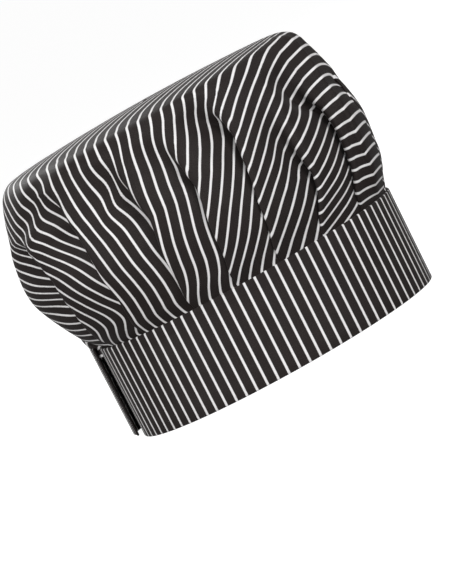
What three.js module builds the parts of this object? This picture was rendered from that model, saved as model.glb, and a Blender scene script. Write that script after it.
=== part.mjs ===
import * as THREE from "three";

// Chef cap: a tall doubled headband, a pleated flat-topped crown sewn inside its upper edge,
// and a patch of closing tape between the two laps at the back.
// Millimetres, +Z up, rim on z = 0, front of the cap towards -Y, wearer's right towards -X.
// Azimuth is counted in degrees from the wearer's right: 90 is the front, -90 the back,
// -180 the wearer's left.

// Headband: the oval measured on its outer face at the rim and at the top edge.
const RIM_HALF_LENGTH = 99.5;
const RIM_HALF_WIDTH = 85.9;
const TOP_HALF_LENGTH = 100.1;
const TOP_HALF_WIDTH = 82.9;
const TOP_SHIFT_TO_FRONT = 2.3;
const BAND_HEIGHT = 60;
const BAND_WALL = 2.4;
const BAND_STEP_DEGREES = 4;
const BAND_ROWS = [0, 0.5, 1];

// Closure at the back: the outer lap stands off the oval, and its free end curls back to it.
const OUTER_LAP_END = -99;
const STAND_OFF = 13.5;
const STAND_OFF_STARTS = -172;
const STAND_OFF_FULL = -112;
const CURL_STARTS = -111;
const CURL_ENDS = -98;
const CURL = 7.5;
const UNDER_LAP_END = -136;
const UNDER_LAP_LEAVES = -99;
const UNDER_LAP_MEETS = -117;
const UNDER_LAP_TOP = 49.5;
const UNDER_LAP_STEP_STARTS = -93.5;
const UNDER_LAP_STEP_ENDS = -95.8;
const TAPE_THICKNESS = 1.6;
const TAPE_FROM = -133;
const TAPE_TO = -120;
const TAPE_BOTTOM = 8;
const TAPE_TOP = 44;
const TAPE_LINES = [0, 0.33, 0.67, 1];
const CLEARANCE = 0.3;

// Crown: the cloth, and the flat round that it is cut from.
const CLOTH = 1.0;
const LAYER_STEP = 1.8;
const LAYER_STAGGER = 0.3;
const FOLDS_SHUT_BELOW = 0.75;
const WIDEST_OPENING = 0.1;
const HEM_CLEARANCE = 0.45;
const HEM_LEAVES_BAND = -96.2;
const HEM_JOINS_OUTER_LAP = -99.6;
const PLEATS_LEAN_FROM = 60;
const PLEATS_LEAN_TO = 140;
const PLEATS_SPREAD_FROM = 161;
const PLEATS_SPREAD_TO = 174.6;

// Where the vertical lines of one pleat's face stand, as shares of its width, and how high
// each stands on the pleat's step, 1 being the folded edge and 0 the cloth under the next one.
const FACE_LINES = [
  { across: 0.0, level: 1.0 },
  { across: 0.35, level: 1.0 },
  { across: 0.68, level: 0.9 },
  { across: 0.93, level: 0.12 },
];
const LINES_PER_PLEAT = FACE_LINES.length + 3;

// Sections of the crown's outside. height: above the rim. front, rear, side: reach from the
// middle of the rim. pleat: how high the pleats' edges stand, as a share. away: how far the
// section follows the outer lap, as a share.
const HEM_FRONT = TOP_HALF_LENGTH - BAND_WALL - HEM_CLEARANCE + TOP_SHIFT_TO_FRONT;
const HEM_REAR = TOP_HALF_LENGTH - BAND_WALL - HEM_CLEARANCE - TOP_SHIFT_TO_FRONT;
const HEM_SIDE = TOP_HALF_WIDTH - BAND_WALL - HEM_CLEARANCE;
const SECTIONS = [
  { height: 52.0, front: HEM_FRONT, rear: HEM_REAR, side: HEM_SIDE, pleat: 1.0, away: 1.0 },
  { height: 60.0, front: HEM_FRONT, rear: HEM_REAR, side: HEM_SIDE, pleat: 1.0, away: 1.0 },
  { height: 63.0, front: 101.6, rear: 99.0, side: 82.8, pleat: 1.0, away: 0.95 },
  { height: 67.5, front: 103.4, rear: 103.6, side: 86.2, pleat: 1.0, away: 0.75 },
  { height: 74.0, front: 105.0, rear: 107.4, side: 89.4, pleat: 1.0, away: 0.45 },
  { height: 82.0, front: 106.8, rear: 111.4, side: 92.4, pleat: 1.0, away: 0.2 },
  { height: 91.0, front: 108.6, rear: 116.2, side: 95.0, pleat: 1.0, away: 0.05 },
  { height: 101.0, front: 110.3, rear: 119.3, side: 96.9, pleat: 1.0, away: 0.0 },
  { height: 112.0, front: 111.2, rear: 119.6, side: 97.8, pleat: 1.0, away: 0.0 },
  { height: 123.0, front: 111.0, rear: 118.0, side: 97.8, pleat: 1.0, away: 0.0 },
  { height: 134.0, front: 110.0, rear: 116.0, side: 97.0, pleat: 1.0, away: 0.0 },
  { height: 144.0, front: 108.1, rear: 113.5, side: 95.5, pleat: 1.0, away: 0.0 },
  { height: 153.0, front: 105.7, rear: 110.8, side: 93.6, pleat: 0.9, away: 0.0 },
  { height: 161.0, front: 102.8, rear: 107.4, side: 91.1, pleat: 0.7, away: 0.0 },
  { height: 167.5, front: 99.0, rear: 103.4, side: 87.6, pleat: 0.4, away: 0.0 },
  { height: 172.0, front: 93.6, rear: 98.0, side: 82.2, pleat: 0.15, away: 0.0 },
  { height: 174.6, front: 85.0, rear: 89.0, side: 73.6, pleat: 0.0, away: 0.0 },
  { height: 176.2, front: 62.0, rear: 66.0, side: 53.0, pleat: 0.0, away: 0.0 },
  { height: 177.4, front: 30.0, rear: 34.0, side: 25.0, pleat: 0.0, away: 0.0 },
];
const TOP_CENTRE = { x: 0, y: 2, z: 177.8 };

// Pleats, one row for each folded edge. seam: its azimuth at the headband. top: its azimuth
// at the crown's upper edge. deepest: how far behind its own face the cloth may turn back, as a
// share of that face; less at the closure, where the seam swings in.
const PLEATS = [
  { seam: -94, top: -80, deepest: 0.5 },
  { seam: -68, top: -57, deepest: 0.5 },
  { seam: -50, top: -40, deepest: 0.5 },
  { seam: -23, top: -14, deepest: 0.5 },
  { seam: -5, top: 1, deepest: 0.5 },
  { seam: 11, top: 20, deepest: 0.5 },
  { seam: 31, top: 38.5, deepest: 0.5 },
  { seam: 53, top: 57, deepest: 0.5 },
  { seam: 78, top: 77, deepest: 0.5 },
  { seam: 101, top: 101, deepest: 0.5 },
  { seam: 125, top: 125, deepest: 0.5 },
  { seam: 149, top: 148, deepest: 0.5 },
  { seam: 173, top: 172, deepest: 0.5 },
  { seam: 197, top: 197, deepest: 0.5 },
  { seam: 220, top: 223, deepest: 0.5 },
  { seam: 236, top: 250, deepest: 0.3 },
];
const FULL_TURN = 360;

const DARK_CLOTH = { color: 0x322e2d, roughness: 0.9, metalness: 0.0 };
const DARK_TAPE = { color: 0x1c1b1b, roughness: 0.95, metalness: 0.0 };

// Smooth step from 0 at edge a to 1 at edge b.
function ease(a, b, value) {
  const t = Math.min(1, Math.max(0, (value - a) / (b - a)));
  return t * t * (3 - 2 * t);
}

function mix(a, b, share) {
  return a + (b - a) * share;
}

// Point of an oval at an azimuth, moved outwards along its normal by offset.
function ovalPoint(oval, azimuth, offset) {
  const angle = THREE.MathUtils.degToRad(azimuth);
  const halfLength = (oval.front + oval.rear) / 2;
  const centre = (oval.rear - oval.front) / 2;
  const normal = new THREE.Vector2(-halfLength * Math.cos(angle), -oval.side * Math.sin(angle));
  normal.normalize().multiplyScalar(offset);
  const x = -oval.side * Math.cos(angle) + normal.x;
  const y = centre - halfLength * Math.sin(angle) + normal.y;
  return new THREE.Vector3(x, y, oval.height);
}

// Millimetres of an oval's edge in one degree of azimuth.
function edgePerDegree(oval, azimuth) {
  return ovalPoint(oval, azimuth - 0.5, 0).distanceTo(ovalPoint(oval, azimuth + 0.5, 0));
}

// The headband's outer oval at a height.
function bandOval(height) {
  const share = height / BAND_HEIGHT;
  const halfLength = mix(RIM_HALF_LENGTH, TOP_HALF_LENGTH, share);
  const shift = TOP_SHIFT_TO_FRONT * share;
  const side = mix(RIM_HALF_WIDTH, TOP_HALF_WIDTH, share);
  return { height, front: halfLength + shift, rear: halfLength - shift, side };
}

// How far the outer lap's outer face stands off the oval.
function outerLapOffset(azimuth) {
  const rise = STAND_OFF * ease(STAND_OFF_STARTS, STAND_OFF_FULL, azimuth);
  return rise - CURL * ease(CURL_STARTS, CURL_ENDS, azimuth);
}

// How far the under lap's outer face stands off it: it swings out to lie along the tape.
function underLapOffset(azimuth) {
  const pressed = outerLapOffset(azimuth) - BAND_WALL - TAPE_THICKNESS - 2 * CLEARANCE;
  return pressed * (1 - ease(UNDER_LAP_MEETS, UNDER_LAP_LEAVES, azimuth));
}

// Closed solid between two grids of points, outer[row][column] and inner[row][column].
// A ring closes on itself along its columns; a strip ends in two narrow faces.
// A cap is a pair of points that close the last row, one on each face.
function shell(outer, inner, { ring, cap }) {
  const rows = outer.length;
  const columns = outer[0].length;
  const positions = [];
  const put = (point) => positions.push(point.x, point.y, point.z);
  outer.flat().forEach(put);
  inner.flat().forEach(put);
  const out = (row, column) => row * columns + (column % columns);
  const inn = (row, column) => rows * columns + out(row, column);
  const faces = [];
  const quad = (a, b, c, d) => faces.push(a, b, c, a, c, d);
  const spans = ring ? columns : columns - 1;
  for (let row = 0; row < rows - 1; row += 1) {
    for (let column = 0; column < spans; column += 1) {
      const next = column + 1;
      quad(out(row, column), out(row, next), out(row + 1, next), out(row + 1, column));
      quad(inn(row, column), inn(row + 1, column), inn(row + 1, next), inn(row, next));
    }
  }
  const last = rows - 1;
  for (let column = 0; column < spans; column += 1) {
    const next = column + 1;
    quad(out(0, column), inn(0, column), inn(0, next), out(0, next));
    if (!cap) {
      quad(out(last, column), out(last, next), inn(last, next), inn(last, column));
    }
  }
  if (cap) {
    const outerCap = positions.length / 3;
    put(cap.outer);
    put(cap.inner);
    for (let column = 0; column < spans; column += 1) {
      faces.push(out(last, column), out(last, column + 1), outerCap);
      faces.push(inn(last, column + 1), inn(last, column), outerCap + 1);
    }
  }
  if (!ring) {
    const end = columns - 1;
    for (let row = 0; row < rows - 1; row += 1) {
      quad(out(row, 0), out(row + 1, 0), inn(row + 1, 0), inn(row, 0));
      quad(out(row, end), inn(row, end), inn(row + 1, end), out(row + 1, end));
    }
  }
  const geometry = new THREE.BufferGeometry();
  geometry.setAttribute("position", new THREE.Float32BufferAttribute(positions, 3));
  geometry.setIndex(faces);
  geometry.computeVertexNormals();
  return geometry;
}

// Headband: one strip from the under lap's end, round the right side, the front and the left
// side, to the outer lap's free end.
function headbandGeometry() {
  const stations = [UNDER_LAP_STEP_ENDS, UNDER_LAP_STEP_STARTS];
  const outerEnd = OUTER_LAP_END + FULL_TURN;
  for (let azimuth = UNDER_LAP_END; azimuth < outerEnd - 1; azimuth += BAND_STEP_DEGREES) {
    if (Math.abs(azimuth - UNDER_LAP_STEP_ENDS) > 1 && Math.abs(azimuth - UNDER_LAP_STEP_STARTS) > 1) {
      stations.push(azimuth);
    }
  }
  stations.push(outerEnd);
  stations.sort((a, b) => a - b);
  const offsetAt = (azimuth) => {
    if (azimuth < UNDER_LAP_LEAVES) {
      return underLapOffset(azimuth);
    }
    return azimuth > FULL_TURN / 2 ? outerLapOffset(azimuth - FULL_TURN) : 0;
  };
  const topAt = (azimuth) => mix(
    UNDER_LAP_TOP, BAND_HEIGHT, ease(UNDER_LAP_STEP_ENDS, UNDER_LAP_STEP_STARTS, azimuth));
  const grid = (inset) => BAND_ROWS.map((share) => stations.map((azimuth) => ovalPoint(
    bandOval(share * topAt(azimuth)), azimuth, offsetAt(azimuth) - inset)));
  return shell(grid(0), grid(BAND_WALL), { ring: false });
}

// Closing tape: a flat patch that fills the space between the two laps.
function tapeGeometry() {
  const stations = TAPE_LINES.map((share) => mix(TAPE_FROM, TAPE_TO, share));
  const grid = (depth) => [TAPE_BOTTOM, TAPE_TOP].map((height) => stations.map((azimuth) => ovalPoint(
    bandOval(height), azimuth, outerLapOffset(azimuth) - BAND_WALL - CLEARANCE - depth)));
  return shell(grid(0), grid(TAPE_THICKNESS), { ring: false });
}

// Radius, in the flat round of cloth, of the line that ends up at each section: the length of
// the cloth from the middle of the top.
function clothRadii() {
  const reach = (section) => (section.front + section.rear + 2 * section.side) / 4;
  const radii = [];
  let radius = 0;
  let above = { reach: 0, height: TOP_CENTRE.z };
  for (const section of [...SECTIONS].reverse()) {
    radius += Math.hypot(reach(section) - above.reach, section.height - above.height);
    radii.unshift(radius);
    above = { reach: reach(section), height: section.height };
  }
  return radii;
}

// How far the crown's outside follows the outer lap away from the oval.
function crownStandOff(azimuth) {
  const atBack = azimuth > FULL_TURN / 2 ? azimuth - FULL_TURN : azimuth;
  const share = 1 - ease(HEM_JOINS_OUTER_LAP, HEM_LEAVES_BAND, atBack);
  return share * outerLapOffset(Math.min(atBack, HEM_JOINS_OUTER_LAP));
}

// Azimuth of a pleat's folded edge at a height. Pleats past the last one start again one turn on.
function foldAzimuth(index, height) {
  const pleat = PLEATS[index % PLEATS.length];
  const turn = FULL_TURN * Math.floor(index / PLEATS.length);
  return mix(pleat.seam, pleat.top, ease(PLEATS_LEAN_FROM, PLEATS_LEAN_TO, height)) + turn;
}

// One section of the crown as lines round the cap. Each pleat has a face, and behind the next
// folded edge the cloth runs on, turns back and turns again. The more cloth the flat round has
// for that stretch, the deeper it turns back; where there is none to spare the fold opens into
// a slope and then dies out.
function crownSection(section, radius) {
  const lines = [];
  const rise = 2 * LAYER_STEP * section.pleat;
  const spread = ease(PLEATS_SPREAD_FROM, PLEATS_SPREAD_TO, section.height);
  PLEATS.forEach((pleat, index) => {
    const start = foldAzimuth(index, section.height);
    const end = foldAzimuth(index + 1, section.height);
    const after = foldAzimuth(index + 2, section.height);
    const perDegree = edgePerDegree(section, end);
    const flatAngle = foldAzimuth(index + 1, Infinity) - foldAzimuth(index, Infinity);
    const cloth = THREE.MathUtils.degToRad(flatAngle) * radius;
    const width = end - start;
    const spare = (cloth / perDegree - width) / 2;
    const share = PLEATS[(index + 1) % PLEATS.length].deepest;
    const deepest = share * (after - end) * ease(FOLDS_SHUT_BELOW, 1, section.pleat);
    const depth = THREE.MathUtils.clamp(spare, -WIDEST_OPENING * width, deepest);
    const stagger = LAYER_STAGGER / 2 / LAYER_STEP;
    const face = FACE_LINES.map(({ across, level }) => ({ azimuth: start + across * width, level }));
    const fold = [
      { azimuth: end + depth, level: 0 },
      { azimuth: end + depth, level: 0.5 - stagger },
      { azimuth: end, level: 0.5 + stagger },
    ];
    [...face, ...fold].forEach(({ azimuth, level }, line) => {
      const even = start + width * (line / LINES_PER_PLEAT);
      const placed = mix(azimuth, even, spread);
      const offset = section.away * crownStandOff(placed) - CLOTH / 2 - rise * (1 - level);
      lines.push(ovalPoint(section, placed, offset));
    });
  });
  return lines;
}

// Unit normals of a ring of sections that closes on itself: the mean of the normals of the
// faces that meet in each point.
function gridNormals(grid) {
  const columns = grid[0].length;
  const faceNormal = (row, column) => {
    const next = (column + 1) % columns;
    const across = grid[row][next].clone().sub(grid[row + 1][column]);
    const up = grid[row + 1][next].clone().sub(grid[row][column]);
    return across.cross(up).normalize();
  };
  const faces = grid.slice(0, -1).map((points, row) => points.map((_, column) => faceNormal(row, column)));
  return grid.map((points, row) => points.map((_, column) => {
    const normal = new THREE.Vector3();
    const before = (column + columns - 1) % columns;
    for (const near of [Math.max(row - 1, 0), Math.min(row, grid.length - 2)]) {
      normal.add(faces[near][column]).add(faces[near][before]);
    }
    return normal.normalize();
  }));
}

// Crown: the pleated wall and the flat top are one cloth shell, open below.
function crownGeometry() {
  const radii = clothRadii();
  const grid = SECTIONS.map((section, row) => crownSection(section, radii[row]));
  const normals = gridNormals(grid);
  const face = (side) => grid.map((points, row) => points.map((point, column) => point
    .clone()
    .addScaledVector(normals[row][column], side * CLOTH / 2)));
  const centre = new THREE.Vector3(TOP_CENTRE.x, TOP_CENTRE.y, TOP_CENTRE.z - CLOTH / 2);
  const capAt = (side) => centre.clone().add(new THREE.Vector3(0, 0, side * CLOTH / 2));
  return shell(face(1), face(-1), { ring: true, cap: { outer: capAt(1), inner: capAt(-1) } });
}

function piece(name, geometry, finish) {
  const mesh = new THREE.Mesh(geometry, new THREE.MeshStandardMaterial(finish));
  mesh.name = name;
  return mesh;
}

const cap = new THREE.Group();
cap.add(piece("headband", headbandGeometry(), DARK_CLOTH));
cap.add(piece("closure_tape", tapeGeometry(), DARK_TAPE));
cap.add(piece("crown", crownGeometry(), DARK_CLOTH));

// The origin is in the middle of the footprint, on the surface that the rim rests on.
const extent = new THREE.Box3().setFromObject(cap);
const middle = extent.getCenter(new THREE.Vector3());
cap.children.forEach((mesh) => mesh.position.set(-middle.x, -middle.y, 0));

export default cap;
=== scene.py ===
import math

import bpy
import numpy as np
from mathutils import Matrix, Vector


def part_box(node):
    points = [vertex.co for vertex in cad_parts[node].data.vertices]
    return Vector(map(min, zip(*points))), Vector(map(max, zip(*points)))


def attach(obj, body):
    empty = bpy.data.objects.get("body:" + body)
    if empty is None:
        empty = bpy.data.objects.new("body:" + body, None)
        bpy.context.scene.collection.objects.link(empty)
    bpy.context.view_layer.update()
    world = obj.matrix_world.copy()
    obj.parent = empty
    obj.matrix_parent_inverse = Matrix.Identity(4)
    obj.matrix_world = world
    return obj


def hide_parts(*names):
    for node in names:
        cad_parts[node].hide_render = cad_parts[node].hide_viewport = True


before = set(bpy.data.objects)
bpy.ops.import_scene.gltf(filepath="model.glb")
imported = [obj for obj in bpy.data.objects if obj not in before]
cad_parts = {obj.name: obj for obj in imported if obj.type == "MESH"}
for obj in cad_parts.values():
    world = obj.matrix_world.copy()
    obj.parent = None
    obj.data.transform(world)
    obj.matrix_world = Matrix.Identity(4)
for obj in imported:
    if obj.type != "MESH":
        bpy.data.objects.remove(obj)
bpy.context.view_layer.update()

# Headband. A straight strip of the striped cloth, folded double over a stiffener, so both long
# edges are folds. It goes once round and its free end laps over the start at the back.
# Azimuth is in degrees from the wearer's right: 90 is the front, -90 the back. Sizes in mm.
MM = 0.001
FULL_TURN, HALF_TURN = 360, 180
RIM_HALF_LENGTH = 99.5
RIM_HALF_WIDTH = 85.9
TOP_HALF_LENGTH = 100.1
TOP_HALF_WIDTH = 82.9
TOP_SHIFT_TO_FRONT = 2.3
BAND_HEIGHT = 60.0
BAND_WALL = 1.5
BAND_COLUMNS = 720
BAND_FACE_ROWS = 9
BAND_FOLD_ROWS = 6

# The two laps: where each ends, how far it stands off the oval, and the azimuths between which
# it swings out, curls back or steps down.
OUTER_LAP_END = -99.0
STAND_OFF = 13.5
STAND_OFF_STARTS, STAND_OFF_FULL = -172.0, -112.0
CURL = 7.5
CURL_STARTS, CURL_ENDS = -111.0, -98.0
UNDER_LAP_END = -136.0
UNDER_LAP_LEAVES, UNDER_LAP_MEETS = -99.0, -117.0
UNDER_LAP_BEHIND = 4.6
UNDER_LAP_TOP = 49.5
UNDER_LAP_STEP_STARTS, UNDER_LAP_STEP_ENDS = -93.5, -95.8

band_low, band_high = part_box("headband")
RIM_CENTRE = Vector((
    (band_low.x + band_high.x) / 2,
    band_low.y + (TOP_HALF_LENGTH + TOP_SHIFT_TO_FRONT) * MM,
    0.0,
))


def ease(start, end, value):
    """Smooth step: 0 at start and 1 at end, with 3 t squared less 2 t cubed between them."""
    t = np.clip((value - start) / (end - start), 0, 1)
    return t * t * (3 - 2 * t)


def mix(a, b, share):
    """Straight blend: a where share is 0, b where it is 1."""
    return a + (b - a) * share


def oval_point(front, rear, side, azimuth, offset):
    """Point of an ellipse at an azimuth: the cosine times the side's reach to the right, and the
    sine times the half length to the front. It is moved out along the ellipse's own normal."""
    angle = np.radians(azimuth)
    half_length = (front + rear) / 2
    centre = (rear - front) / 2
    normal_x = -half_length * np.cos(angle)
    normal_y = -side * np.sin(angle)
    length = np.hypot(normal_x, normal_y)
    x = -side * np.cos(angle) + normal_x / length * offset
    y = centre - half_length * np.sin(angle) + normal_y / length * offset
    return x, y


def band_oval(height):
    """The headband's outer oval at a height, between the rim's and the top edge's: its front,
    rear and side reach."""
    share = height / BAND_HEIGHT
    half_length = mix(RIM_HALF_LENGTH, TOP_HALF_LENGTH, share)
    shift = TOP_SHIFT_TO_FRONT * share
    return half_length + shift, half_length - shift, mix(RIM_HALF_WIDTH, TOP_HALF_WIDTH, share)


def outer_lap_offset(azimuth):
    """How far the outer lap stands off the oval: it swings out, and its free end curls back."""
    rise = STAND_OFF * ease(STAND_OFF_STARTS, STAND_OFF_FULL, azimuth)
    return rise - CURL * ease(CURL_STARTS, CURL_ENDS, azimuth)


def under_lap_offset(azimuth):
    """How far the under lap stands off the oval: it swings out to lie along the closing tape."""
    along_tape = outer_lap_offset(azimuth) - UNDER_LAP_BEHIND
    return along_tape * ease(UNDER_LAP_LEAVES, UNDER_LAP_MEETS, azimuth)


def grid_quads(rows, columns, ring):
    """Faces of a grid of points whose rows go down and whose columns go with the azimuth."""
    row = np.arange(rows - 1)[:, None]
    column = np.arange(columns if ring else columns - 1)[None, :]
    here = row * columns + column
    beside = row * columns + (column + 1) % columns
    return np.stack([here, here + columns, beside + columns, beside], -1).reshape(-1, 4)


def cloth_piece(name, points, faces, cloth):
    """A mesh of the points, in millimetres from the rim's middle, with the cloth's own flat
    coordinates, in millimetres, as its UV map."""
    placed = np.asarray(points) * MM + np.array(RIM_CENTRE)
    mesh = bpy.data.meshes.new(name)
    mesh.from_pydata(placed.tolist(), [], faces)
    corners = np.zeros(len(mesh.loops), np.int32)
    mesh.loops.foreach_get("vertex_index", corners)
    uv_map = mesh.uv_layers.new(name="cloth")
    uv_map.data.foreach_set("uv", np.asarray(cloth, np.float32)[corners].ravel())
    mesh.polygons.foreach_set("use_smooth", [True] * len(mesh.polygons))
    mesh.update()
    piece = bpy.data.objects.new(name, mesh)
    bpy.context.scene.collection.objects.link(piece)
    return piece


def band_section():
    """The strip's closed cross-section, an upright slot shape: over the half-round top fold, down
    the inner face, round the bottom fold and up the outer face. For each point: how deep it
    lies, its share of the straight height, and how far it bulges past that height."""
    radius = BAND_WALL / 2
    turn = np.linspace(0, math.pi, BAND_FOLD_ROWS)
    face = np.linspace(0, 1, BAND_FACE_ROWS)[1:-1]
    zeros = np.zeros(face.size)
    depth = (radius - radius * np.cos(turn), zeros + BAND_WALL, radius + radius * np.cos(turn), zeros)
    share = (np.ones(turn.size), 1 - face, np.zeros(turn.size), face)
    bulge = (radius * np.sin(turn), zeros, -radius * np.sin(turn), zeros)
    return (np.concatenate(stretches)[:, None] for stretches in (depth, share, bulge))


def band_mesh():
    """The cross-section carried along the oval from the under lap's end to the outer lap's end.
    The flat coordinates are the length along the oval and the way round the section."""
    azimuth = np.linspace(UNDER_LAP_END, OUTER_LAP_END + FULL_TURN, BAND_COLUMNS)
    top = mix(UNDER_LAP_TOP, BAND_HEIGHT, ease(UNDER_LAP_STEP_ENDS, UNDER_LAP_STEP_STARTS, azimuth))
    offset = np.where(
        azimuth < UNDER_LAP_LEAVES,
        under_lap_offset(azimuth),
        np.where(azimuth > HALF_TURN, outer_lap_offset(azimuth - FULL_TURN), 0.0),
    )
    depth, share, bulge = band_section()
    height = BAND_WALL / 2 + share * (top - BAND_WALL) + bulge
    points = np.stack([*oval_point(*band_oval(height), azimuth, offset - depth), height], -1)
    around = np.linalg.norm(np.diff(points, axis=0, append=points[:1]), axis=-1).mean(1)
    across = np.concatenate([[0], np.cumsum(around)[:-1]])
    middle = np.stack(oval_point(*band_oval(BAND_HEIGHT / 2), azimuth, offset), -1)
    along = np.concatenate([[0], np.cumsum(np.linalg.norm(np.diff(middle, axis=0), axis=-1))])
    along -= np.interp(0.0, azimuth, along)
    cloth = np.stack(np.broadcast_arrays(along[None, :], across[:, None]), -1)
    rows = points.shape[0]
    closed = grid_quads(rows + 1, BAND_COLUMNS, ring=False) % (rows * BAND_COLUMNS)
    first = np.arange(rows) * BAND_COLUMNS
    faces = closed[:, ::-1].tolist() + [first.tolist(), (first + BAND_COLUMNS - 1)[::-1].tolist()]
    return points.reshape(-1, 3), faces, cloth.reshape(-1, 2), along[-1] - along[0]


band_points, band_faces, band_cloth, band_length = band_mesh()
headband = cloth_piece("headband_cloth", band_points, band_faces, band_cloth)

# The cloth of both pieces: a fine near-black twill with a woven white stripe every 7.15 mm, and
# a little paler where the dye has rubbed. The white yarn carries painted shade in the grooves
# between the twill's ribs. Sizes in mm, and scales in waves to the mm.
STRIPE_PITCH = 7.15
STRIPE_WIDTH = 1.5
STRIPE_SOFTNESS = 0.16
STRIPE_FRAY, FRAY_SCALE, FRAY_DETAIL = 0.11, 2.2, 2.0
TWILL_PITCH = 0.55
TWILL_SLANT = 0.55
CLOUD_SCALE, CLOUD_DETAIL = 0.09, 5.0
FUZZ_SCALE, FUZZ_DETAIL = 1.6, 3.0
FUZZ_SEEN = (0.32, 0.68)
DARK_YARN = (0.0125, 0.0096, 0.0092, 1)
DARK_YARN_WORN = (0.0330, 0.0272, 0.0258, 1)
WHITE_YARN = (0.72, 0.71, 0.71, 1)
# Painted shade: the white yarn's colour down in the grooves between the twill's ribs.
WHITE_YARN_PAINTED_SHADE = (0.56, 0.55, 0.55, 1)
YARN_ROUGHNESS = (0.5, 0.62)
YARN_IOR = 1.18
YARN_SHEEN, YARN_SHEEN_ROUGHNESS = 0.03, 0.4
RIB_TO_FUZZ = 0.5
WEAVE_STRENGTH, WEAVE_HEIGHT = 0.35, 0.2


def new_material(name):
    """A material with nodes, its node tree, and the sockets of its Principled BSDF."""
    material = bpy.data.materials.new(name)
    material.use_nodes = True
    return material, material.node_tree, material.node_tree.nodes["Principled BSDF"].inputs


def add_node(tree, kind, place, **settings):
    """A node of a kind at a place in the tree, with its properties set by name."""
    node = tree.nodes.new(kind)
    node.location = place
    for name, value in settings.items():
        setattr(node, name, value)
    return node


def feed(tree, socket, source):
    """Link a socket to another node's output, or set it to a number or colour."""
    if isinstance(source, bpy.types.NodeSocket):
        tree.links.new(source, socket)
    else:
        socket.default_value = source


def calculate(tree, place, operation, *sources):
    """Output of a Math node; each source is a number or another node's output."""
    node = add_node(tree, "ShaderNodeMath", place, operation=operation)
    for socket, source in zip(node.inputs, sources):
        feed(tree, socket, source)
    return node.outputs[0]


def rescale(tree, place, value, before, after, steps="LINEAR"):
    """Output of a Map Range node, which takes the range before to the range after."""
    node = add_node(tree, "ShaderNodeMapRange", place, interpolation_type=steps)
    feed(tree, node.inputs["Value"], value)
    feed(tree, node.inputs["From Min"], before[0])
    feed(tree, node.inputs["From Max"], before[1])
    feed(tree, node.inputs["To Min"], after[0])
    feed(tree, node.inputs["To Max"], after[1])
    return node.outputs[0]


def noise(tree, place, coordinates, scale, detail):
    """Output of a Noise Texture, about one half on the mean."""
    node = add_node(tree, "ShaderNodeTexNoise", place)
    feed(tree, node.inputs["Vector"], coordinates)
    feed(tree, node.inputs["Scale"], scale)
    feed(tree, node.inputs["Detail"], detail)
    return node.outputs["Fac"]


def blend_colours(tree, place, share, first, second):
    """Output of a Mix node in colour: the first colour where the share is 0, the second at 1."""
    node = add_node(tree, "ShaderNodeMix", place, data_type="RGBA")
    sockets = {socket.identifier: socket for socket in [*node.inputs, *node.outputs]}
    feed(tree, sockets["Factor_Float"], share)
    feed(tree, sockets["A_Color"], first)
    feed(tree, sockets["B_Color"], second)
    return sockets["Result_Color"]


def relief_normals(tree, place, relief, strength, height, sunk=False):
    """Output of a Bump node: the normals of a relief that is a height in mm from its 0 to its 1,
    or as deep below the surface where it is sunk."""
    node = add_node(tree, "ShaderNodeBump", place, invert=sunk)
    feed(tree, node.inputs["Strength"], strength)
    feed(tree, node.inputs["Distance"], height * MM)
    feed(tree, node.inputs["Height"], relief)
    return node.outputs["Normal"]


def striped_twill():
    """Node group: from flat cloth coordinates in mm, the mask of the white stripes, the height
    of the twill's diagonal ribs, and a soft cloudiness of the dye."""
    group = bpy.data.node_groups.new("striped_twill", "ShaderNodeTree")
    interface = group.interface
    interface.new_socket(name="Cloth", in_out="INPUT", socket_type="NodeSocketVector")
    for name, value in (
        ("Pitch", STRIPE_PITCH),
        ("Width", STRIPE_WIDTH),
        ("Softness", STRIPE_SOFTNESS),
        ("Shift", 0.0),
        ("Twill", TWILL_PITCH),
    ):
        socket = interface.new_socket(name=name, in_out="INPUT", socket_type="NodeSocketFloat")
        socket.default_value = value
    for name in ("Stripe", "Rib", "Cloud"):
        interface.new_socket(name=name, in_out="OUTPUT", socket_type="NodeSocketFloat")
    given = add_node(group, "NodeGroupInput", (-900, 0)).outputs
    made = add_node(group, "NodeGroupOutput", (900, 0)).inputs
    axes = add_node(group, "ShaderNodeSeparateXYZ", (-700, 200))
    feed(group, axes.inputs[0], given["Cloth"])

    # The distance from the nearest stripe's middle, made ragged, against half the stripe's width.
    fray = noise(group, (-700, -50), given["Cloth"], FRAY_SCALE, FRAY_DETAIL)
    stray = calculate(group, (-500, -50), "MULTIPLY_ADD", fray, 2 * STRIPE_FRAY, -STRIPE_FRAY)
    moved = calculate(group, (-500, 250), "SUBTRACT", axes.outputs["X"], given["Shift"])
    half_pitch = calculate(group, (-500, 100), "MULTIPLY", given["Pitch"], 0.5)
    from_line = calculate(group, (-300, 250), "PINGPONG", moved, half_pitch)
    ragged = calculate(group, (-120, 250), "ADD", from_line, stray)
    half_width = calculate(group, (-300, 80), "MULTIPLY", given["Width"], 0.5)
    inner = calculate(group, (-120, 80), "SUBTRACT", half_width, given["Softness"])
    outer = calculate(group, (-120, -80), "ADD", half_width, given["Softness"])
    stripe = rescale(group, (100, 250), ragged, (inner, outer), (1.0, 0.0), "SMOOTHSTEP")
    feed(group, made["Stripe"], stripe)

    # The ribs: a sine wave across slanting lines.
    slant = calculate(
        group, (-300, -250), "MULTIPLY_ADD", axes.outputs["Y"], TWILL_SLANT, axes.outputs["X"])
    turns = calculate(group, (-120, -250), "DIVIDE", slant, given["Twill"])
    wave = calculate(group, (60, -250), "MULTIPLY", turns, 2 * math.pi)
    rib = calculate(group, (240, -250), "SINE", wave)
    feed(group, made["Rib"], calculate(group, (420, -250), "MULTIPLY_ADD", rib, 0.5, 0.5))

    feed(group, made["Cloud"], noise(group, (100, -450), given["Cloth"], CLOUD_SCALE, CLOUD_DETAIL))
    return group


TWILL = striped_twill()


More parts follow.
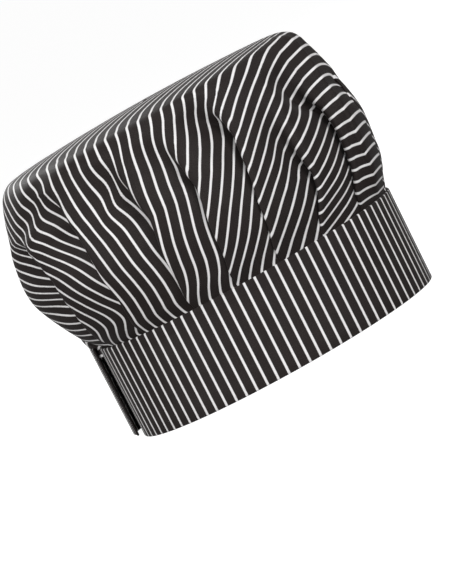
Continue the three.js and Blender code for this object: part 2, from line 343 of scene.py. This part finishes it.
def twill_material(name, shift):
    """Striped twill whose pattern follows the piece's own flat cloth coordinates."""
    material, tree, surface = new_material(name)
    flat = add_node(tree, "ShaderNodeUVMap", (-1200, 0), uv_map="cloth").outputs["UV"]
    weave = add_node(tree, "ShaderNodeGroup", (-950, 0), node_tree=TWILL)
    feed(tree, weave.inputs["Cloth"], flat)
    feed(tree, weave.inputs["Shift"], shift)
    fuzz = noise(tree, (-950, -350), flat, FUZZ_SCALE, FUZZ_DETAIL)
    grain = rescale(tree, (-850, 250), fuzz, FUZZ_SEEN, (0.0, 1.0))
    worn = calculate(tree, (-750, 200), "MULTIPLY", grain, weave.outputs["Cloud"])
    dark = blend_colours(tree, (-650, 150), worn, DARK_YARN, DARK_YARN_WORN)
    # Painted shade: the white yarn is darker in the grooves between the twill's ribs.
    white = blend_colours(tree, (-650, -100), weave.outputs["Rib"], WHITE_YARN_PAINTED_SHADE, WHITE_YARN)
    colour = blend_colours(tree, (-400, 50), weave.outputs["Stripe"], dark, white)
    feed(tree, surface["Base Color"], colour)
    feed(tree, surface["Roughness"], rescale(tree, (-400, -200), fuzz, (0.0, 1.0), YARN_ROUGHNESS))
    relief = calculate(
        tree, (-650, -350), "MULTIPLY_ADD", weave.outputs["Rib"], RIB_TO_FUZZ, fuzz)
    normals = relief_normals(tree, (-400, -400), relief, WEAVE_STRENGTH, WEAVE_HEIGHT)
    feed(tree, surface["Normal"], normals)
    surface["IOR"].default_value = YARN_IOR
    surface["Sheen Weight"].default_value = YARN_SHEEN
    surface["Sheen Roughness"].default_value = YARN_SHEEN_ROUGHNESS
    return material


BAND_STRIPE_SHIFT = -140.3
headband.data.materials.append(twill_material("band_twill", BAND_STRIPE_SHIFT))
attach(headband, "root")
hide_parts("headband")

# Closing tape: a woven strip of small loops, sewn to the inside of the outer lap. It shows only
# as a dark edge between the two laps. Sizes in mm.
LOOP_SIZE = 0.9
LOOP_STRENGTH, LOOP_HEIGHT = 0.8, 0.4
# Painted shade: the colour of the gaps between the loops.
TAPE_PAINTED_SHADE = (0.006, 0.006, 0.006, 1)
TAPE_LIGHT = (0.03, 0.03, 0.031, 1)
TAPE_ROUGHNESS = 0.85


def tape_material():
    """Looped pile: round cells, sunk between them, with painted shade darkening the gaps."""
    material, tree, surface = new_material("closing_tape_loops")
    place = add_node(tree, "ShaderNodeTexCoord", (-900, 0)).outputs["Object"]
    loops = add_node(tree, "ShaderNodeTexVoronoi", (-650, 0))
    feed(tree, loops.inputs["Vector"], place)
    feed(tree, loops.inputs["Scale"], 1 / (LOOP_SIZE * MM))
    from_loop = loops.outputs["Distance"]
    # Painted shade: the colour darkens from each loop's middle into the gaps between the loops.
    colour = blend_colours(tree, (-350, 100), from_loop, TAPE_LIGHT, TAPE_PAINTED_SHADE)
    feed(tree, surface["Base Color"], colour)
    normals = relief_normals(tree, (-350, -200), from_loop, LOOP_STRENGTH, LOOP_HEIGHT, sunk=True)
    feed(tree, surface["Normal"], normals)
    surface["Roughness"].default_value = TAPE_ROUGHNESS
    return material


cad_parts["closure_tape"].data.materials.clear()
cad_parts["closure_tape"].data.materials.append(tape_material())

# Crown. A flat round of the cloth; its edge is laid in pleats and sewn inside the headband's
# top edge. All folded edges point to the back, each panel over the one behind it.
CLOTH = 0.5
BAND_GAP = 0.25
HEM_FRONT = TOP_HALF_LENGTH - BAND_WALL - BAND_GAP + TOP_SHIFT_TO_FRONT
HEM_REAR = TOP_HALF_LENGTH - BAND_WALL - BAND_GAP - TOP_SHIFT_TO_FRONT
HEM_SIDE = TOP_HALF_WIDTH - BAND_WALL - BAND_GAP
HEM_LEAVES_BAND, HEM_JOINS_OUTER_LAP = -96.2, -99.6

# Sections of the crown's outside, from the seam up: height, reach to the front, to the rear and
# to the side, and how far the section follows the outer lap away from the oval, as a share.
SECTIONS = np.array([
    (52.0, HEM_FRONT, HEM_REAR, HEM_SIDE, 1.0),
    (60.0, HEM_FRONT, HEM_REAR, HEM_SIDE, 1.0),
    (63.0, 101.9, 99.2, 83.0, 0.95),
    (67.5, 103.4, 103.6, 86.2, 0.75),
    (74.0, 106.4, 107.4, 89.4, 0.45),
    (82.0, 109.2, 111.4, 92.4, 0.2),
    (91.0, 110.4, 115.8, 95.0, 0.05),
    (101.0, 111.8, 119.6, 96.9, 0.0),
    (112.0, 112.4, 120.4, 97.8, 0.0),
    (123.0, 110.9, 119.2, 97.8, 0.0),
    (134.0, 108.8, 117.0, 97.0, 0.0),
    (144.0, 106.4, 113.5, 95.5, 0.0),
    (153.0, 104.0, 110.8, 93.6, 0.0),
    (161.0, 101.4, 107.8, 91.8, 0.0),
    (166.5, 99.5, 105.2, 90.2, 0.0),
    (170.4, 96.8, 102.0, 88.2, 0.0),
    (172.8, 93.0, 98.4, 85.2, 0.0),
    (174.0, 89.6, 93.2, 80.4, 0.0),
    (174.8, 80.0, 84.0, 71.0, 0.0),
    (176.2, 58.0, 62.0, 50.0, 0.0),
    (177.4, 28.0, 32.0, 24.0, 0.0),
    (177.8, 0.0, 0.0, 0.0, 0.0),
])[::-1]

# Pleats, with a row in each table for each folded edge in view, from the back to the front. The
# first two tables have a column for each of six circles of the flat round: the edge's azimuth on
# the cap, and the azimuth of the flat round that lies there, counted from the stripes' own line.
FOLD_CIRCLES = np.array([100.0, 125.0, 150.0, 175.0, 195.0, 210.0])
FOLD_AZIMUTHS = np.array([
    (-84.0, -86.0, -89.0, -91.0, -94.0, -96.0),
    (-62.0, -61.5, -57.5, -59.5, -64.5, -68.0),
    (-40.3, -39.2, -37.3, -38.0, -42.0, -46.0),
    (-14.0, -13.8, -14.3, -16.7, -19.6, -22.0),
    (2.9, 2.9, 2.0, -0.4, -2.8, -4.8),
    (23.9, 20.9, 18.4, 15.8, 13.7, 12.5),
    (40.5, 40.0, 38.2, 37.0, 33.4, 31.0),
    (57.0, 56.0, 56.0, 55.4, 53.2, 52.5),
    (82.0, 80.5, 76.5, 75.5, 76.5, 80.0),
])
FLAT_AZIMUTHS = np.array([
    (-66.0, -67.0, -71.0, -78.0, -81.0, -83.0),
    (-44.5, -42.5, -43.1, -42.4, -41.0, -34.5),
    (-24.6, -21.0, -19.2, -17.5, -16.2, -15.1),
    (2.7, 3.7, 4.2, 4.3, 4.8, 6.3),
    (19.7, 21.4, 22.8, 23.6, 24.9, 25.7),
    (44.1, 45.5, 45.5, 45.4, 44.6, 43.8),
    (60.8, 62.1, 62.4, 63.5, 64.9, 65.1),
    (79.0, 81.5, 83.4, 85.0, 86.0, 86.0),
    (94.0, 103.0, 114.3, 115.5, 115.0, 114.0),
])
# Circles where the cloth starts to fold, and where the fold has closed.
FOLD_CLOSES = np.array([
    (124.0, 152.0),
    (126.0, 154.0),
    (98.0, 126.0),
    (102.0, 130.0),
    (103.0, 131.0),
    (92.0, 120.0),
    (118.0, 148.0),
    (104.0, 156.0),
    (128.0, 156.0),
])
# Length of cloth in a fold's two turns: where it closes, and further down.
SOFT_TURNS = np.array([
    (18.0, 9.0),
    (22.0, 12.0),
    (12.0, 6.0),
    (16.0, 6.0),
    (12.0, 6.0),
    (18.0, 8.0),
    (14.0, 9.0),
    (15.0, 10.0),
    (3.0, 3.0),
])

# How far below its closed circle a fold has the second length, and the circle from which the
# turns are pressed to one short length at the seam.
SOFT_UNTIL = 60.0
PRESSED_FROM, PRESSED_TURNS = 196.0, 2.0

# The plain folds on the side away. On the top, the flat round is turned by one angle up to a
# circle, and wholly caught in the folds from another.
HIDDEN_FOLDS = 7
TOP_TURN = 20.0
TOP_FREE, TOP_CAUGHT = 55.0, 100.0

# A fold's turns and its depth, at most, as shares of the panel's width and of the next one's, and
# its least straight stretch. Then the most of a face that lies on the fold behind it, and the
# share of the face's fall that comes only past there.
WIDEST_TURNS = 0.6
DEEPEST_FOLD = 0.82
LEAST_STRAIGHT = 0.3
LONGEST_HELD = 0.7
HELD_SHARE = 0.4

# One panel near the front has a crease along it: circle, azimuth and height of its ridge, and
# the powers by which the cloth rises to the ridge and falls from it.
CREASED_PANEL = 7
CREASE = np.array([
    (75.0, 72.0, 0.0),
    (92.0, 71.0, 0.8),
    (100.0, 69.5, 2.0),
    (125.0, 62.0, 4.2),
    (150.0, 58.0, 5.0),
    (175.0, 57.3, 5.2),
    (195.0, 60.0, 4.0),
    (210.0, 66.0, 0.8),
])
CREASE_RISE, CREASE_FALL = 2.0, 1.8

# Soft waves of the cloth where the pleats open: azimuth and circle of the wave's middle, how far
# its line climbs for each degree, half its length in degrees and its width; then how deep the
# valley above the line is and the ridge below it, and how far the cloth is drawn along there.
WAVES = np.array([
    (-59.0, 119.5, -1.25, 13.0, 7.5, 1.4, 2.2),
    (-21.0, 118.0, -1.5, 7.0, 8.0, 1.0, 1.7),
    (-72.0, 178.0, 0.0, 12.0, 9.0, 2.0, 0.0),
])

# The crown's grid: circles of the flat round between which its rows are evenly spaced, the rows
# in each stretch, and the columns of a face, of each turn and of the straight stretch.
FIRST_CIRCLE, EDGE_STARTS, EDGE_ENDS, GATHERED = 3.0, 66.0, 108.0, 26.0
TOP_ROWS, EDGE_ROWS, SIDE_ROWS, GATHERED_ROWS = 10, 26, 40, 16
FACE_COLUMNS = 17
TURN_COLUMNS = 7
STRAIGHT_COLUMNS = 3

# The turns' angles are looked up in a table of so many steps from a least angle, and no fold has
# less spare cloth than this where its cloth is shared out.
LEAST_ANGLE, ANGLE_STEPS = 0.001, 400
LEAST_SPARE = 0.01


def crown_waves(azimuth, radius):
    """Depth and drift of the waves. With v the distance below a wave's line, in widths, and u
    the distance along it, in half lengths, both follow -v exp((1 - v v) / 2) exp(-u u), which is
    1 at one width above the line and -1 at one width below it."""
    middle, circle, climb, reach, width, depth, drift = WAVES.T
    away = (azimuth[..., None] - middle + HALF_TURN) % FULL_TURN - HALF_TURN
    across = (radius[:, None, None, None] - circle - climb * away) / width
    wave = -across * np.exp((1 - across ** 2) / 2) * np.exp(-(away / reach) ** 2)
    return (wave * depth).sum(-1), (wave * drift).sum(-1)


def cubic_rows(knots, values, at):
    """Smooth curve through a table's rows: a cubic between each two knots, which passes each
    knot at the slope of its neighbours' chord."""
    slope = np.gradient(values, knots, axis=0)
    row = np.clip(np.searchsorted(knots, at, side="right") - 1, 0, len(knots) - 2)
    step = (knots[row + 1] - knots[row])[:, None]
    t = ((at - knots[row])[:, None]) / step
    start, end = values[row], values[row + 1]
    return (
        (1 + 2 * t) * (1 - t) ** 2 * start + t * t * (3 - 2 * t) * end
        + step * t * (1 - t) ** 2 * slope[row] - step * t * t * (1 - t) * slope[row + 1]
    )


def mean_of_sides(rows):
    """Mean, over the front, the rear and the two sides, of what rows of sections hold."""
    return (rows[:, 1] + rows[:, 2] + 2 * rows[:, 3]) / 4


def cloth_radii(sections):
    """Radius, in the flat round, of the line that ends up at each section: the length of the
    cloth from the middle of the top, down the mean of the four sides."""
    down = np.hypot(np.diff(mean_of_sides(sections)), np.diff(sections[:, 0]))
    return np.concatenate([[0], np.cumsum(down)])


def row_radii(hem):
    """Circles of the flat round that the grid's rows follow: over the top, round its edge, down
    the side, and closer again where the cloth is gathered to the seam."""
    return np.concatenate([
        np.linspace(FIRST_CIRCLE, EDGE_STARTS, TOP_ROWS, endpoint=False),
        np.linspace(EDGE_STARTS, EDGE_ENDS, EDGE_ROWS, endpoint=False),
        np.linspace(EDGE_ENDS, hem - GATHERED, SIDE_ROWS, endpoint=False),
        np.linspace(hem - GATHERED, hem, GATHERED_ROWS),
    ])


def outward(section, radius):
    """Unit direction out of the cloth on each row, level and upwards: the direction down the
    sections, turned by a right angle."""
    slope = np.gradient(section, radius, axis=0)
    out, up = -slope[:, 0], mean_of_sides(slope)
    length = np.hypot(out, up)
    return (out / length)[:, None, None], (up / length)[:, None, None]


def crown_stand_off(azimuth):
    """How far the crown's lower edge follows the outer lap away from the oval."""
    at_back = (azimuth + HALF_TURN) % FULL_TURN - HALF_TURN
    share = ease(HEM_LEAVES_BAND, HEM_JOINS_OUTER_LAP, at_back)
    return share * outer_lap_offset(np.minimum(at_back, HEM_JOINS_OUTER_LAP))


def all_folds(radius):
    """Every folded edge on every circle, with the first two repeated a full turn on: the tables'
    folds, and between the last and the first, on the side away, plain folds evenly spaced. Near
    the middle of the top the cloth is free of the folds and only turned round by one angle."""
    share = np.arange(1, HIDDEN_FOLDS + 1) / (HIDDEN_FOLDS + 1)

    def whole(table, turn_on):
        """The table's rows, the rows of the side away, and the first two rows a turn on."""
        hidden = mix(table[-1], table[0] + turn_on, share.reshape((-1,) + (1,) * (table.ndim - 1)))
        return np.concatenate([table, hidden, table[:2] + turn_on])

    at = np.clip(radius, FOLD_CIRCLES[0], FOLD_CIRCLES[-1])
    fold = cubic_rows(FOLD_CIRCLES, whole(FOLD_AZIMUTHS, FULL_TURN).T, at)
    flat = cubic_rows(FOLD_CIRCLES, whole(FLAT_AZIMUTHS, FULL_TURN).T, at)
    flat = mix(fold + TOP_TURN, flat, ease(TOP_FREE, TOP_CAUGHT, radius)[:, None])
    return fold, flat, whole(FOLD_CLOSES, 0.0)[1:-1], whole(SOFT_TURNS, 0.0)[1:-1]


def panel_widths(section, fold):
    """Width of each panel on each row: the degrees between its two folded edges, times the
    length of a degree of the section's ellipse at the panel's middle."""
    middle = np.radians(fold[:, :-1] + np.diff(fold) / 2)
    half_length = (section[:, 1:2] + section[:, 2:3]) / 2
    degree = np.radians(1) * np.hypot(section[:, 3:4] * np.sin(middle), half_length * np.cos(middle))
    return degree * np.diff(fold)


def turn_lengths(radius, hem, closes, soft_turns):
    """Length of cloth in each fold's two turns on each row: from the table's first width to its
    second below the circle where the fold has closed, and pressed tight at the seam."""
    lower = ease(closes[:, 1], closes[:, 1] + SOFT_UNTIL, radius[:, None])
    pressed = ease(PRESSED_FROM, hem, radius)[:, None]
    return mix(mix(soft_turns[:, 0], soft_turns[:, 1], lower), PRESSED_TURNS, pressed)[:, :, None]


def bend_angle(share):
    """How far the cloth turns at a fold, from the share of its two turns that it uses up. Turned
    by an angle and back, it uses up 1 less the angle's sine over the angle."""
    angle = np.linspace(LEAST_ANGLE, np.pi, ANGLE_STEPS)
    return np.interp(share, 1 - np.sin(angle) / angle, angle)


def panel_faces(run, rise, spare, crease_along, crease_height):
    """The panels' faces: the cloth used and the way along, which are the same here, and the
    level. It falls from the folded edge to the next fold, and stays up over the cloth that the
    fold behind has tucked under it. The creased panel has its middle column on the ridge, and
    falls only past it; the ridge's height follows a power of the way from either edge."""
    u = np.linspace(0, 1, FACE_COLUMNS)
    middle = run / 2
    middle[:, CREASED_PANEL, 0] = crease_along
    ridge = np.zeros_like(run)
    ridge[:, CREASED_PANEL, 0] = crease_height
    along = np.where(u < 0.5, 2 * u * middle, middle + (2 * u - 1) * (run - middle))
    held = np.minimum(np.roll(spare, 1, axis=1) / 2, LONGEST_HELD * run)
    fall = mix(along / run, ease(held, run, along), HELD_SHARE)
    fall[:, CREASED_PANEL] = (2 * u - 1).clip(0)
    height = np.where(u < 0.5, (2 * u) ** CREASE_RISE, (2 - 2 * u) ** CREASE_FALL)
    return along, along, -rise * fall + ridge * height


def fold_stretches(run, rise, bend, angle, back):
    """The cloth past each face, in three stretches: a turn, a straight stretch that runs back
    under the next face, and a turn back. A share t of a turn of a length and an angle goes the
    length times sin(angle t) / angle along and 1 - cos(angle t) over the angle up; the last
    turn is such a turn taken from its end. For each: the cloth used, the way along, the level."""
    t = np.linspace(0, 1, TURN_COLUMNS)
    straight = back - 2 * bend
    first = (
        run + t[1:] * bend,
        run + bend * np.sin(angle * t[1:]) / angle,
        -rise + bend * (1 - np.cos(angle * t[1:])) / angle,
    )
    near_along, near_level = first[1][..., -1:], first[2][..., -1:]
    w = np.linspace(0, 1, STRAIGHT_COLUMNS + 2)[1:-1]
    second = (
        run + bend + w * straight,
        near_along + w * straight * np.cos(angle),
        near_level + w * straight * np.sin(angle),
    )
    far_along = near_along + straight * np.cos(angle)
    far_level = near_level + straight * np.sin(angle)
    left = angle * (1 - t[:-1])
    third = (
        run + back - bend + t[:-1] * bend,
        far_along + bend * (np.sin(angle) - np.sin(left)) / angle,
        far_level + bend * (np.cos(left) - np.cos(angle)) / angle,
    )
    return first, second, third


def crown_mesh():
    """Points of the crown on a grid, its faces and its flat coordinates. A row is a circle of
    the flat round, and along it each pleat has a face and a fold that uses up the cloth that
    the circle has to spare there. A point lies on its section's ellipse, moved out by its level."""
    knots = cloth_radii(SECTIONS)
    hem = knots[-1]
    radius = row_radii(hem)
    section = cubic_rows(knots, SECTIONS, radius)
    out, up = outward(section, radius)
    height, front, rear, side, away = (column[:, None, None] for column in section.T)

    fold, flat, closes, soft_turns = all_folds(radius)
    widths = panel_widths(section, fold)
    width, next_width = widths[:, :-1, None], widths[:, 1:, None]
    start, turn = fold[:, :-2, None], np.diff(fold)[:, :-1, None]
    given = (np.radians(np.diff(flat)[:, :-1]) * radius[:, None])[:, :, None]
    shut = ease(closes[:, 0], closes[:, 1], radius[:, None])[:, :, None]
    spare = np.clip((given - width) * shut, 0, 2 * DEEPEST_FOLD * next_width)
    turns = np.minimum(turn_lengths(radius, hem, closes, soft_turns), WIDEST_TURNS * width)
    bend = turns / 2
    angle = bend_angle(np.minimum(spare / turns, 1))
    back = np.maximum(turns + LEAST_STRAIGHT, spare / 2 + bend)
    run = width + spare - back
    rise = 2 * bend * (1 - np.cos(angle)) / angle + (back - 2 * bend) * np.sin(angle)

    crease_azimuth, crease_height = (np.interp(radius, CREASE[:, 0], CREASE[:, k]) for k in (1, 2))
    crease_share = (crease_azimuth - start[:, CREASED_PANEL, 0]) / turn[:, CREASED_PANEL, 0]
    crease_along = crease_share * width[:, CREASED_PANEL, 0]
    face = panel_faces(run, rise, spare, crease_along, crease_height)
    folded = fold_stretches(run, rise, bend, angle, back)
    used, along, level = (np.concatenate(parts, -1) for parts in zip(face, *folded))

    # A closed fold's round edge reaches past its own line by its radius, so the cloth is moved
    # along by as much, and what a fold is too shallow to take is tucked away inside it.
    proud = bend / np.pi * np.clip(2 * angle / np.pi - 1, 0, 1)
    moved = mix(np.roll(proud, 1, axis=1), proud, np.minimum(along / width, 1))
    azimuth = start + (along + moved) / width * turn
    excess = np.maximum(given - width - spare, 0) * shut
    tucked = excess * ease(0.0, 1.0, (used - width) / spare.clip(LEAST_SPARE))
    taken = used * (given - excess) / (width + spare) + tucked
    depth, drift = crown_waves(azimuth, radius)
    beta = np.radians(flat[:, :-2, None]) + (taken - drift) / radius[:, None, None]

    offset = away * crown_stand_off(azimuth) - CLOTH / 2 + level - depth
    x, y = oval_point(front, rear, side, azimuth, offset * out)
    points = np.stack([x, y, height + offset * up], -1).reshape(radius.size, -1, 3)
    cloth = np.stack([np.sin(beta), np.cos(beta)], -1) * radius[:, None, None, None]
    columns = points.shape[1]
    top = np.append(points[0].mean(0)[:2], SECTIONS[0, 0])
    points = np.concatenate([points.reshape(-1, 3), top[None]])
    cloth = np.concatenate([cloth.reshape(-1, 2), np.zeros((1, 2))])
    column = np.arange(columns)
    pole = np.stack([column, (column + 1) % columns, np.full(columns, len(points) - 1)], -1)
    faces = grid_quads(radius.size, columns, ring=True).tolist() + pole.tolist()
    return points, faces, cloth, hem


CROWN_STRIPE_SHIFT = 0.75 * STRIPE_PITCH
crown_points, crown_faces, crown_cloth, hem_radius = crown_mesh()
crown = cloth_piece("crown_cloth", crown_points, crown_faces, crown_cloth)
wall = crown.modifiers.new("cloth_thickness", "SOLIDIFY")
wall.thickness = CLOTH * MM
wall.offset = 0
crown.data.materials.append(twill_material("crown_twill", CROWN_STRIPE_SHIFT))
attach(crown, "root")
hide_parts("crown")

# Setting: a wide flat floor and a room that look white to the camera and give little light, and
# six soft square lights round the cap and above it. Sizes and places in metres.
FLOOR_RADIUS = 60.0
FLOOR_SIDES = 64
FLOOR_COLOUR = (0.15, 0.15, 0.15, 1)
FLOOR_ROUGHNESS = 0.8
FLOOR_GLOW = 0.96
ROOM_LIGHT = 0.07
WHITE = (1, 1, 1, 1)


def floor_mesh():
    """A flat round disc: its rim's points stand at equal angles on one circle."""
    turn = np.linspace(0, 2 * np.pi, FLOOR_SIDES, endpoint=False)
    points = FLOOR_RADIUS * np.stack([np.cos(turn), np.sin(turn), np.zeros(FLOOR_SIDES)], -1)
    mesh = bpy.data.meshes.new("floor")
    mesh.from_pydata(points.tolist(), [], [list(range(FLOOR_SIDES))])
    return mesh


def floor_material():
    """Matt grey that glows white for the camera alone."""
    material, tree, surface = new_material("white_floor")
    seen = add_node(tree, "ShaderNodeLightPath", (-600, 0)).outputs["Is Camera Ray"]
    glow = calculate(tree, (-300, 0), "MULTIPLY", seen, FLOOR_GLOW)
    feed(tree, surface["Emission Strength"], glow)
    surface["Emission Color"].default_value = WHITE
    surface["Base Color"].default_value = FLOOR_COLOUR
    surface["Roughness"].default_value = FLOOR_ROUGHNESS
    return material


floor = bpy.data.objects.new("floor", floor_mesh())
bpy.context.scene.collection.objects.link(floor)
floor.data.materials.append(floor_material())

world = bpy.data.worlds.new("white_room")
bpy.context.scene.world = world
world.use_nodes = True
room = world.node_tree.nodes["Background"].inputs
looked_at = add_node(world.node_tree, "ShaderNodeLightPath", (-600, 0)).outputs["Is Camera Ray"]
room_light = rescale(world.node_tree, (-300, 0), looked_at, (0.0, 1.0), (ROOM_LIGHT, 1.0))
feed(world.node_tree, room["Color"], WHITE)
feed(world.node_tree, room["Strength"], room_light)

# Lights: name, place, side of the square and power in watts. All shine at the cap's middle.
CAP_MIDDLE = Vector((0.0, 0.0, 0.1))
LIGHTS = (
    ("key_light", (-2.4, 0.0, 1.0), 1.4, 32),
    ("front_light", (-1.9, -1.6, 0.8), 1.0, 41),
    ("far_light", (0.3, -2.4, 1.9), 0.9, 15),
    ("rear_light", (-1.4, 2.2, 0.5), 0.8, 39),
    ("top_light", (0.0, 0.0, 2.8), 2.4, 28),
    ("left_light", (1.9, 1.0, 1.6), 1.2, 46),
)
for name, place, size, power in LIGHTS:
    light = bpy.data.lights.new(name, "AREA")
    light.shape = "SQUARE"
    light.size = size
    light.energy = power
    lamp = bpy.data.objects.new(name, light)
    lamp.location = place
    lamp.rotation_mode = "QUATERNION"
    lamp.rotation_quaternion = (CAP_MIDDLE - Vector(place)).to_track_quat("-Z", "Y")
    bpy.context.scene.collection.objects.link(lamp)

# Camera: the cap is seen from the wearer's right, a little from above, with the picture
# turned so that the cap leans back. Places in mm from the rim's middle, the roll in degrees,
# and how far the camera sees in metres.
CAMERA_PLACE = (-2564.68, 0.0, 298.58)
CAMERA_AIM = (0.0, 14.216, 52.322)
CAMERA_ROLL = -29.128
CAMERA_LENS = 262.2
CAMERA_SENSOR = 36.0
CAMERA_SEES_TO = 100
camera_data = bpy.data.cameras.new("camera")
camera_data.lens = CAMERA_LENS
camera_data.sensor_width = CAMERA_SENSOR
camera_data.clip_end = CAMERA_SEES_TO
camera = bpy.data.objects.new("camera", camera_data)
bpy.context.scene.collection.objects.link(camera)
eye = RIM_CENTRE + Vector(CAMERA_PLACE) * MM
look = (RIM_CENTRE + Vector(CAMERA_AIM) * MM - eye).normalized()
level = look.cross(Vector((0, 0, 1))).normalized()
lift = level.cross(look)
roll = math.radians(CAMERA_ROLL)
right = math.cos(roll) * level + math.sin(roll) * lift
upward = -math.sin(roll) * level + math.cos(roll) * lift
camera.matrix_world = Matrix.Translation(eye) @ Matrix((right, upward, -look)).transposed().to_4x4()
bpy.context.scene.camera = camera
bpy.context.scene.view_settings.view_transform = "Standard"
